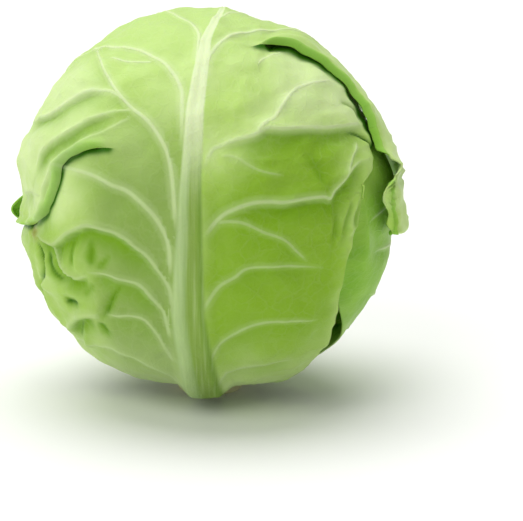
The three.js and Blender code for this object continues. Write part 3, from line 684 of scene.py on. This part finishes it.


# Cabbage leaf: living tissue under a thin wax bloom, satin, a little translucent, paler along its veins.
# Its colour also carries painted shade in hollows, creases, under the lips and on the lower front, and
# painted light and shade across the rib and on the lip's edge. Its patterns follow the leaf's own chart,
# which is in mm.
def freshLeaf(name, colours):
    material, tree, shader = newMaterial(name, leafFinish)

    def value(key):
        return add(tree, "ShaderNodeAttribute", "Fac", {}, attribute_name=key)

    def maths(kind, a, b):
        return add(tree, "ShaderNodeMath", 0, {0: a, 1: b}, operation=kind)

    def ramp(v, low, high, start=0.0, end=1.0):
        ends = {"Value": v, "From Min": low, "From Max": high, "To Min": start, "To Max": end}
        return add(tree, "ShaderNodeMapRange", 0, ends, interpolation_type="SMOOTHSTEP")

    def mix(share, a, b):
        return add(tree, "ShaderNodeMix", 2, {0: share, 6: a, 7: b}, data_type="RGBA")

    def noise3D(vector, size, output=0, detail=3.0):
        settings = {"Vector": vector, "Scale": 1 / size, "Detail": detail}
        return add(tree, "ShaderNodeTexNoise", output, settings)

    def cellEdges(vector, size):
        settings = {"Vector": vector, "Scale": 1 / size}
        return add(tree, "ShaderNodeTexVoronoi", 0, settings, feature="DISTANCE_TO_EDGE")

    def lineOf(kind):
        width = value(kind + "Width")
        offset = maths("ABSOLUTE", value(kind + "Offset"), 0.0)
        spread = maths("DIVIDE", offset, maths("MAXIMUM", width, 0.01))
        shown = maths("MULTIPLY", ramp(width, 0.1, 0.3), value(kind + "Pale"))
        line, halo = ramp(spread, 0.3, 1.4, 1.0, 0.0), ramp(spread, 0.8, 4.5, 1.0, 0.0)
        return maths("MULTIPLY", line, shown), maths("MULTIPLY", halo, shown)

    chart = add(tree, "ShaderNodeAttribute", "Vector", {}, attribute_name="chart")
    vein = mix(value("dim"), linear(colours["vein"]), linear(colours["veinDim"]))
    patches = noise3D(chart, leafPatterns["patch"])
    colour = mix(ramp(patches, 0.35, 0.65), linear(colours["blade"]), linear(colours["bladeDeep"]))
    # The low tint among these is painted shade on the lower front of the leaf.
    for key, most in (("crown", 1.0), ("frost", 0.5), ("bloom", 0.9), ("base", 0.75), ("low", 1.0)):
        colour = mix(maths("MULTIPLY", value(key), most), colour, linear(colours[key]))
    # Painted shade in hollows beside veins and in creases, weaker towards the crown.
    inShade = maths("MULTIPLY", value("shade"), ramp(value("crown"), 0.1, 0.8, 1.0, 0.45))
    colour = mix(inShade, colour, linear(colours["shade"]))
    warp = {0: noise3D(chart, leafPatterns["warp"], 1), 1: (6, 6, 6), 2: chart}
    shifted = add(tree, "ShaderNodeVectorMath", 0, warp, operation="MULTIPLY_ADD")
    netLine = ramp(cellEdges(shifted, leafPatterns["mesh"]), 0.0, 0.12, 1.0, 0.0)
    fineLine = ramp(cellEdges(shifted, leafPatterns["fineMesh"]), 0.0, 0.18, 1.0, 0.0)
    network = maths("ADD", maths("MULTIPLY", netLine, 0.06), maths("MULTIPLY", fineLine, 0.035))
    network = maths("MULTIPLY", network, ramp(patches, 0.4, 0.6, 0.35, 1.0))
    colour = mix(network, colour, vein)
    # Painted shade: darkest green along creases and on the tucked part under the lips.
    colour = mix(ramp(value("creaseShade"), 0.0, 1.0), colour, linear(colours["fold"]))
    # Painted light: saturated green where light shines through the rolled lip's edge.
    colour = mix(maths("MULTIPLY", value("lip"), 0.8), colour, linear(colours["lip"]))
    (veinLine, veinHalo), (branchLine, branchHalo) = lineOf("vein"), lineOf("branch")
    veinMask = maths("MAXIMUM", veinLine, branchLine)
    colour = mix(maths("MULTIPLY", maths("MAXIMUM", veinHalo, branchHalo), 0.32), colour, vein)
    colour = mix(maths("MULTIPLY", veinMask, 0.8), colour, vein)
    ribAt = value("ribPosition")
    stretched = add(tree, "ShaderNodeVectorMath", 0, {0: chart, 1: (0.7, 0.03, 1)}, operation="MULTIPLY")
    streaks = noise3D(stretched, 1, detail=2.0)
    # Painted light and shade across the rib: a pale lit edge and side on the left, a darker side and a
    # painted shadow line at the right edge.
    ribLightAndShade = tree.nodes.new("ShaderNodeValToRGB")
    tree.links.new(ramp(ribAt, -1.0, 1.0), ribLightAndShade.inputs[0])
    stops = ribLightAndShade.color_ramp.elements
    stops[0].position, stops[0].color = 0.0, linear(colours["ribLitEdge"])
    stops[1].position, stops[1].color = 1.0, linear(colours["ribShadowEdge"])
    for at, key in ((0.18, "ribLitEdge"), (0.32, "ribLitSide"), (0.46, "ribShadedSide"), (0.85, "ribShadedSide")):
        stop = stops.new(at)
        stop.color = linear(colours[key])
    ribColour = mix(ramp(value("crown"), 0.12, 0.5), ribLightAndShade.outputs[0], linear(colours["vein"]))
    ribColour = mix(ramp(streaks, 0.4, 0.75, 0.0, 0.3), ribColour, vein)
    ribMask = maths("MULTIPLY", ramp(maths("ABSOLUTE", ribAt, 0.0), 0.85, 1.2, 1.0, 0.0), value("ribShown"))
    colour = mix(ribMask, colour, ribColour)
    colour = mix(value("worn"), colour, linear(colours["worn"]))

    speck = noise3D(chart, leafPatterns["speck"])
    besideRib = maths("SUBTRACT", 1.0, ribMask)
    relief = maths("MULTIPLY", maths("MULTIPLY", veinMask, 0.3), besideRib)
    for height, most in ((netLine, 0.08), (fineLine, 0.05), (speck, 0.08)):
        relief = maths("ADD", relief, maths("MULTIPLY", height, most))
    normal = add(tree, "ShaderNodeBump", 0, {"Height": relief, "Distance": mm, "Strength": 0.8})
    tree.links.new(colour, shader.inputs["Base Color"])
    tree.links.new(normal, shader.inputs["Normal"])
    tree.links.new(ramp(patches, 0.3, 0.7, 0.38, 0.5), shader.inputs["Roughness"])
    return material


# The low and shade greens and the darkest green are painted shade. The four rib tones are painted light and
# shade across the rib, pale on its lit left and darker to a shadow line at its right edge. The lip green is
# painted light shining through the lip's edge.
leafColours = {
    "blade": "#C8E390",
    "bladeDeep": "#ADD15E",
    "low": "#82AC22",
    "shade": "#729F16",
    "crown": "#B8D680",
    "bloom": "#829F4E",
    "frost": "#DAECB4",
    "base": "#CADFA0",
    "vein": "#D8E9B4",
    "veinDim": "#BFD498",
    "fold": "#2C6302",
    "lip": "#78BE14",
    "ribLitEdge": "#A8C281",
    "ribLitSide": "#94B16A",
    "ribShadedSide": "#84A248",
    "ribShadowEdge": "#769A38",
    "worn": "#8E8A35",
}


def leafAttributes(leaf, place, marks, creaseShade, rib, extra):
    values = {
        "chart": np.column_stack([place * mmPerDegree + leaf["azimuth"], np.zeros(len(place))]),
        "creaseShade": creaseShade,
        "crown": smooth(place[:, 1], 75, 190),
        "base": 1 - smooth(place[:, 1], 16, 70),
        "ribPosition": np.clip(rib, -3, 3),
        "ribShown": 1 - smooth(place[:, 1], 180, 204),
    }
    lines = [kind + what for kind in ("vein", "branch") for what in ("Offset", "Width", "Pale")]
    values.update({key: marks[key] for key in lines + ["shade"]})
    for key in ("lip", "bloom", "frost", "worn", "low", "dim", "base", "shade"):
        values[key] = np.maximum(values.get(key, 0), extra.get(key, np.zeros(len(place))))
    return values


frontRelief = {
    "blisters": ((24, 1.6), (11, 1.2), (4.5, 0.34)),  # size and height in mm
    "wrinkled": 0.7,  # mm
    "crinkled": 1.5,  # mm more, on the right below its second vein
    "wave": 0.8,  # mm, at the margin
    "ruffleEase": 12,  # degrees along the rib
    "underLipShade": (2.8, 5.0),  # mm, how far painted shade in dark green reaches from the left lip and from the right one
}

print("front leaf")
bm, points = leafGrid(frontLeaf)
place, share, above = points["place"], points["share"], points["above"]
direction = directionOf(0, place)
marks = drawn(place, leftVeins + rightVeins + frontCreases)
clearBetweenVeins(bm, place, marks)
ruffle = sum(height * bump(share - at, spread) for at, spread, height in lipRuffles)
fromSlit = points["ribAlong"] - frontLeaf["right"]["slitRib"]
flap = above & ~points["isLeft"]
ruffle = ruffle * bump(fromSlit, frontRelief["ruffleEase"]) * flap
across, along = place.T
waving = 1 + np.sin(np.radians(across * 7 + along * 10))
wave = frontRelief["wave"] * smooth(share, 0.85, 1) * waving
rib = ribRelief(place, frontLeaf)
relief = np.maximum(rib, marks["rise"]) - marks["hollow"] * (1 - smooth(rib, 0.3, 1.5))
relief += blisters(direction, frontRelief["blisters"], 3)
crinkled = (1 - smooth(along, 125, 160)) * smooth(across, 5, 25)
wrinkled = frontRelief["wrinkled"] + frontRelief["crinkled"] * crinkled
relief += wrinkles(place, 3) * wrinkled * smooth(np.abs(across + 5), 4, 14)
reach = headReach(direction) + points["lift"] + ruffle + wave + relief
nearLip, lipGlow = np.full(len(place), 99.0), np.zeros(len(place))
for key, ofSide in (("left", points["isLeft"]), ("right", ~points["isLeft"])):
    gap, _, alongLip = alongPath(place, smoothPath(frontLeaf[key]["upper"][0][2:]))
    lip = frontLeaf[key]["roll"]
    fading = smooth(alongLip, 0, 0.08) * (ofSide & above)
    roll = lip["height"] * bump(gap - lip["middle"], lip["spread"]) - lip["under"] * bump(gap, 0.8)
    roll -= lip["dip"] * bump(gap - lip["middle"] - 2.2 * lip["spread"], lip["spread"] * 1.2)
    reach += fading * roll
    # Painted light: the rolled lip's edge tinted green as light shines through it.
    glowing = lip["tint"] * bump(gap, lip["middle"] + 0.6 * lip["spread"])
    lipGlow = np.maximum(lipGlow, fading * glowing)
    nearLip = np.where(ofSide, np.minimum(nearLip, gap), nearLip)
# Painted shade: dark green on the tucked part below each lip, added to the creases' painted shade.
lipShadeSpread = np.where(points["isLeft"], *frontRelief["underLipShade"])
creaseShade = marks["creaseShade"] + np.where(above, 0, bump(nearLip, lipShadeSpread))

# Where the front leaf's tints lie, in degrees on its chart. The low tint is painted shade: deeper green from
# the second right vein down, where the leaf turns away from the overhead light.
underVein = 118 + 9 * smooth(across, 0, 18)  # the second right vein, with painted shade in deep green from there down
gradual = 16 * (1 - smooth(across, 5, 30))
low = (1 - smooth(along, underVein - 4 - gradual, underVein + 1)) * smooth(across, -8, 3)
low *= 0.92 * smooth(along, 25, 70) * (1 - 0.7 * smooth(across, 38, 48))
lowLeft = 0.4 * smooth(-across, 34, 46) * (1 - smooth(along, 90, 104)) * smooth(along, 25, 60)
frost = smooth(along, underVein, underVein + 9) * (1 - smooth(along, 158, 172))
frost *= smooth(across, 12, 34) * (1 - smooth(across, 66, 80))
frostLeft = 0.9 * smooth(-across, 30, 50) * smooth(along, 90, 106) * (1 - smooth(along, 148, 166))
extra = {
    "lip": lipGlow,
    "bloom": (1 - smooth(-across, 30, 48)) * (across < -3) * (1 - smooth(along, 104, 150)),
    "frost": np.where(flap, 0, np.maximum(frost, frostLeft)),
    "worn": 0.8 * bump(np.hypot(across + 69, along - 90), 3.0),
    "low": np.where(flap, 0, np.maximum(low, lowLeft)),
    "base": np.where(flap, 0.5 * smooth(nearLip, 3, 7) * smooth(share, 0.25, 0.5), 0),
    "dim": 1 - smooth(along, 100, 150),
}
attributes = leafAttributes(frontLeaf, place, marks, creaseShade, ribPosition(place, frontLeaf), extra)
freshWaxyLeaf = freshLeaf("freshWaxyLeaf", leafColours)
piece = finishedPiece("leafFront", bm, placed(direction, reach), attributes, freshWaxyLeaf)
thicken(piece, frontLeaf["blade"])
standFor(piece, "leaf_front")


# The leaves below, a turn of about 137 degrees apart round the stem.
plainMargin = [
    (30, 50, 30),
    (52, 80, 48),
    (76, 94, 70),
    (100, 99, 97),
    (126, 98, 124),
    (150, 87, 150),
    (172, 66, 175),
    (188, 42, 193),
    (200, 14, 203),
]  # rib place, then the margin's across and along


def plainRows(start, side, widening):
    rows = []
    for k, (ribAt, across, along) in enumerate([(start, 14, start), *plainMargin]):
        scallop = (2 if k % 2 else -2) * (across > 60)
        wide = side * (across + widening * bump(along - 97, 20) + scallop)
        between = (wide * 0.7, ribAt + (along - ribAt) * 0.6)
        rows.append([(0, ribAt), (wide * 0.35, ribAt), between, (wide, along)])
    return rows


def plainLeaf(azimuth, start, settings, widening=0):
    leaf = {
        "azimuth": azimuth,
        "start": start,
        "tip": 198,
        "rib": [(0, 0), (0, 200)],
        "ribHalfWidth": frontLeaf["ribHalfWidth"],
        "blade": 0.8,
        "left": {"lower": plainRows(start, -1, 0)},
        "right": {"lower": plainRows(start, 1, widening)},
    }
    leaf.update(settings)
    leaf["outline"] = outlineOf(leaf)
    return leaf


frontLeaf["outline"] = outlineOf(frontLeaf)
# Each leaf's depth is in mm below the front leaf's surface, where it is covered and where it shows. The back
# leaf is raised, also in mm, behind the front leaf's right flap, where it shows in deep shade.
backForm = {"rowsOf": (150,), "columns": 70, "depth": (6.2, 2.2), "seed": 11, "raised": 4.2}
leftForm = {"rowsOf": (130,), "columns": 58, "depth": (8.6, 4.4), "seed": 23}
rightForm = {"rowsOf": (130,), "columns": 58, "depth": (11.3, 6.6), "seed": 37}
backLeaf = plainLeaf(146, leafStart, backForm, widening=13)
leftLeaf = plainLeaf(-98, leafStart + 0.4, leftForm)
rightLeaf = plainLeaf(62, leafStart + 2.2, rightForm)
flapHollow = {"at": (83, 108), "spread": (14, 24)}  # degrees across and along on the front leaf's chart
wrapperBlisters = ((24, 1.0), (10, 0.5), (4.5, 0.16))  # size and height in mm
wrapperWave = 1.5  # mm, at the margin


# Side veins by rule: pairs that leave the rib in turn, bend up towards the crown and fork once.
def sideVeins(seed):
    random.seed(seed)
    strokes = []
    for side in (-1, 1):
        for k in range(8):
            at = 26 + 19 * k + 8 * (side > 0) + random.uniform(-3, 3)
            reach = 34 + 44 * math.sin(math.pi * min((at + 8) / 200, 1))
            rise = random.uniform(12, 18)
            out = side * reach
            path = [(0, at - 9), (side * 3.5, at - 1), (out * 0.22, at + rise * 0.5)]
            forkAt = (out * 0.5, at + rise * 0.85)
            path += [forkAt, (out * 0.8, at + rise + random.uniform(-3, 3)), (out * 1.1, at + rise * 1.1)]
            strokes.append((path, (1.5, 0.6), (1.1, 0.6), random.uniform(0.4, 1.1), 0.8))
            fork = [forkAt, (out * 0.64, at + rise * 1.12), (out * 0.88, at + rise * 1.45)]
            strokes.append((fork, (0.9, 0.5), (0.8, 0.4), 0.4, 0.6))
    return strokes


def wrapperLeaf(name, node, leaf, outerLeaves, material, flare=0):
    bm, points = leafGrid(leaf)
    place, share = points["place"], points["share"]
    direction = directionOf(leaf["azimuth"], place)
    bare = exposure(outerLeaves, direction)
    marks = drawn(place, sideVeins(leaf["seed"]))
    clearBetweenVeins(bm, place, marks)
    covered, shown = leaf["depth"]
    wave = wrapperWave * bare * smooth(share, 0.8, 1) * np.sin(np.radians(place[:, 0] * 4 + place[:, 1] * 9))
    flared = flare * smooth(share, 0.86, 1) * bump(place[:, 1] - 95, 11) * (place[:, 0] > 0)
    relief = np.maximum(ribRelief(place, leaf), marks["rise"]) - marks["hollow"]
    relief += blisters(direction, wrapperBlisters, leaf["seed"])
    behindFlap = np.hypot(*((chartOf(0, direction) - flapHollow["at"]) / flapHollow["spread"]).T)
    raised = leaf.get("raised", 0) * bump(behindFlap, 1)
    reach = headReach(direction) - covered + wave + flared + raised + bare * (covered - shown + relief)
    # Painted shade where this leaf shows in the pocket behind the front leaf's right flap.
    extra = {"shade": bump(behindFlap, 0.8)}
    attributes = leafAttributes(leaf, place, marks, marks["creaseShade"], ribPosition(place, leaf), extra)
    piece = finishedPiece(name, bm, placed(direction, reach), attributes, material)
    thicken(piece, leaf["blade"])
    standFor(piece, node)


print("leaves below")
greener = {"blade": "#93C347", "bladeDeep": "#7FB535", "crown": "#A9D162"}
paler = {"blade": "#AFD36F", "bladeDeep": "#9DC85A"}
greenerLeaf = freshLeaf("greenerLeaf", {**leafColours, **greener})
paleLeaf = freshLeaf("paleLeaf", {**leafColours, **paler})
wrapperLeaf("leafBack", "leaf_back", backLeaf, [frontLeaf], greenerLeaf, flare=13)
wrapperLeaf("leafLeft", "leaf_left", leftLeaf, [frontLeaf, backLeaf], paleLeaf)
wrapperLeaf("leafRight", "leaf_right", rightLeaf, [frontLeaf, backLeaf, leftLeaf], paleLeaf)

print("heart")
heartForm = {
    "depth": 15,  # mm below the front leaf's surface
    "ribs": (205, -38),  # azimuths
    "veins": 0.3,  # share of a leaf's vein height
    "around": 120,
    "up": 90,
}
bm = bmesh.new()
bmesh.ops.create_uvsphere(bm, u_segments=heartForm["around"], v_segments=heartForm["up"], radius=1)
direction = np.array([v.co.normalized() for v in bm.verts])
bare = exposure([frontLeaf, backLeaf, leftLeaf, rightLeaf], direction)
charts = [chartOf(azimuth, direction) for azimuth in heartForm["ribs"]]
ribs = [ribRelief(chart, backLeaf) for chart in charts]
azimuth = np.arctan2(direction[:, 0], -direction[:, 1])
fromStem = np.arccos(np.clip(-direction[:, 2], -1, 1))
lapped = 0.5 * np.sin(3 * azimuth + 5 * fromStem)
reach = headReach(direction) - heartForm["depth"] + lapped + bare**2 * (np.maximum(*ribs) + 0.6)
nearest = np.where(ribs[0] > ribs[1], 0, 1)
ribAt = np.where(nearest == 0, ribPosition(charts[0], backLeaf), ribPosition(charts[1], backLeaf))
place = np.where((nearest == 0)[:, None], charts[0], charts[1])
marks = drawn(place, sideVeins(51))
none = np.zeros(len(place))
attributes = leafAttributes(backLeaf, place, marks, none, ribAt, {})
attributes["base"] = np.ones(len(place))
heartTissue = freshLeaf("heartLeaf", {**leafColours, "base": "#DCEBB6"})
reach += heartForm["veins"] * marks["rise"]
standFor(finishedPiece("heart", bm, placed(direction, reach), attributes, heartTissue), "heart")

print("stem")
stemForm = {
    "radius": 15.6,
    "height": 62,
    "around": 144,
    "vascularRing": 11.2,  # mm from the middle, the woody ring under the rind
    "grainScale": 420.0,  # of the pith's grain, per metre
}
rim, ring, top = stemForm["radius"], stemForm["vascularRing"], stemForm["height"]
stemProfile = [
    *((0, 0), (4, 0), (8, 0), (ring - 1.2, 0.1), (ring, 0.35), (ring + 1.2, 0.1), (14, 0)),
    *((rim - 1.2, 0.05), (rim - 0.6, 0.35), (rim - 0.25, 1)),
    *((rim, up) for up in (3, 5, 7, 9, 11)),
    *((rim - 0.3, 20), (rim - 3, top - 8), (rim - 7, top - 1.5), (0, top)),
]
bm = bmesh.new()
corners = [bm.verts.new((across, 0, up)) for across, up in stemProfile]
for near, far in zip(corners, corners[1:]):
    bm.edges.new((near, far))
turn = {"cent": (0, 0, 0), "axis": (0, 0, 1), "angle": math.tau, "steps": stemForm["around"]}
bmesh.ops.spin(bm, geom=bm.verts[:] + bm.edges[:], use_merge=True, **turn)
bmesh.ops.remove_doubles(bm, verts=bm.verts, dist=1e-4)
stemPoints = np.array([v.co for v in bm.verts])
radius, height = np.hypot(stemPoints[:, 0], stemPoints[:, 1]), stemPoints[:, 2]
azimuth = np.arctan2(stemPoints[:, 1], stemPoints[:, 0])
ridged = 0.35 * np.sin(5 * azimuth + 0.6 * height) + 0.25 * np.sin(13 * azimuth + 2)
scars = 0.35 * bump(np.mod(height + 3 * np.sin(2 * azimuth + 1), 6) - 3, 0.8)
outward = (ridged - 0.6 - scars) * smooth(radius, rim - 2, rim) * (1 - smooth(height, 14, 20))
stemPoints[:, :2] *= (1 + outward / np.maximum(radius, 1))[:, None]


stemFinish = {
    "Roughness": 0.42,
    "IOR": 1.4,
    "Subsurface Weight": 0.2,
    "Subsurface Radius": (1.0, 0.9, 0.5),
    "Subsurface Scale": 3 * mm,
}


# Cut cabbage stem: moist crisp pith in a woody ring, under a pale rind. It dries to a light tan at its rim.
def cutStem():
    material, tree, shader = newMaterial("cutStem", stemFinish)
    chart = add(tree, "ShaderNodeTexCoord", "Object", {})
    fromAxis = add(tree, "ShaderNodeAttribute", "Fac", {}, attribute_name="fromAxis")
    tint = tree.nodes.new("ShaderNodeValToRGB")
    tree.links.new(fromAxis, tint.inputs[0])
    stops = tint.color_ramp.elements
    stops[0].position, stops[0].color = 0.0, linear("#EFF0D3")
    stops[1].position, stops[1].color = 1.0, linear("#C9C68D")
    for at, shade in ((0.62, "#E9ECC6"), (0.72, "#D2CF97"), (0.8, "#E3E8BC"), (0.93, "#DDE4B0")):
        stops.new(at).color = linear(shade)
    grain = {"Vector": chart, "Scale": stemForm["grainScale"], "Detail": 3.0}
    pith = add(tree, "ShaderNodeTexNoise", 0, grain)
    mottling = {0: pith, 6: linear("#C8C088"), 7: linear("#F4F4DC")}
    mottled = add(tree, "ShaderNodeMix", 2, mottling, data_type="RGBA")
    colour = add(tree, "ShaderNodeMix", 2, {0: 0.25, 6: tint.outputs[0], 7: mottled}, data_type="RGBA")
    tree.links.new(colour, shader.inputs["Base Color"])
    normal = add(tree, "ShaderNodeBump", 0, {"Height": pith, "Distance": 0.3 * mm, "Strength": 0.6})
    tree.links.new(normal, shader.inputs["Normal"])
    return material


attributes = {"fromAxis": np.clip(radius / rim, 0, 1)}
standFor(finishedPiece("stem", bm, stemPoints * mm, attributes, cutStem()), "stem")

print("floor, light and camera")
floorMesh = bpy.data.meshes.new("floor")
bm = bmesh.new()
bmesh.ops.create_grid(bm, x_segments=1, y_segments=1, size=6)
bm.to_mesh(floorMesh)
bm.free()
floor = inScene("floor", floorMesh)
floorPaint, _, _ = newMaterial("whiteTable", {"Base Color": linear("#F4F4F2"), "Roughness": 0.6})
floorMesh.materials.append(floorPaint)

world = bpy.data.worlds.new("studio")
bpy.context.scene.world = world
world.use_nodes = True
background = world.node_tree.nodes["Background"]
background.inputs["Color"].default_value = (1, 1, 1, 1)
background.inputs["Strength"].default_value = 0.4

studioLights = {
    "overhead": {"tilt": 18, "turn": 200, "spread": 60, "strength": 2.3},
    "key": {"tilt": 48, "turn": -32, "spread": 35, "strength": 0.8},
    "side": {"tilt": 78, "turn": -82, "spread": 70, "strength": 0.5},
}  # degrees from straight above and round from the front, the width of the softbox, W/m2
for lightName, light in studioLights.items():
    lamp = bpy.data.lights.new(lightName, "SUN")
    lamp.energy, lamp.angle = light["strength"], math.radians(light["spread"])
    turning = (math.radians(light["tilt"]), 0, math.radians(light["turn"]))
    inScene(lightName, lamp).rotation_euler = turning

aim = Vector((0, 0, head["centreHeight"] * mm))
shot = {
    "elevation": 15,  # degrees above the horizon
    "distance": 3.5,
    "lens": 533,  # mm, on a 36 mm sensor
    "aside": 0.0235,  # the head's middle stands left of the picture's middle
    "above": 0.0267,  # and above it
}
camera = inScene("camera", bpy.data.cameras.new("camera"))
tilt = math.radians(shot["elevation"])
back = Vector((0, -math.cos(tilt), math.sin(tilt)))
up = Vector((0, math.sin(tilt), math.cos(tilt)))
target = aim + Vector((shot["aside"], 0, 0)) - up * shot["above"]
camera.location = target + back * shot["distance"]
camera.rotation_euler = back.to_track_quat("Z", "Y").to_euler()
camera.data.lens = shot["lens"]
camera.data.sensor_width = 36
bpy.context.scene.camera = camera
bpy.context.scene.view_settings.view_transform = "Standard"
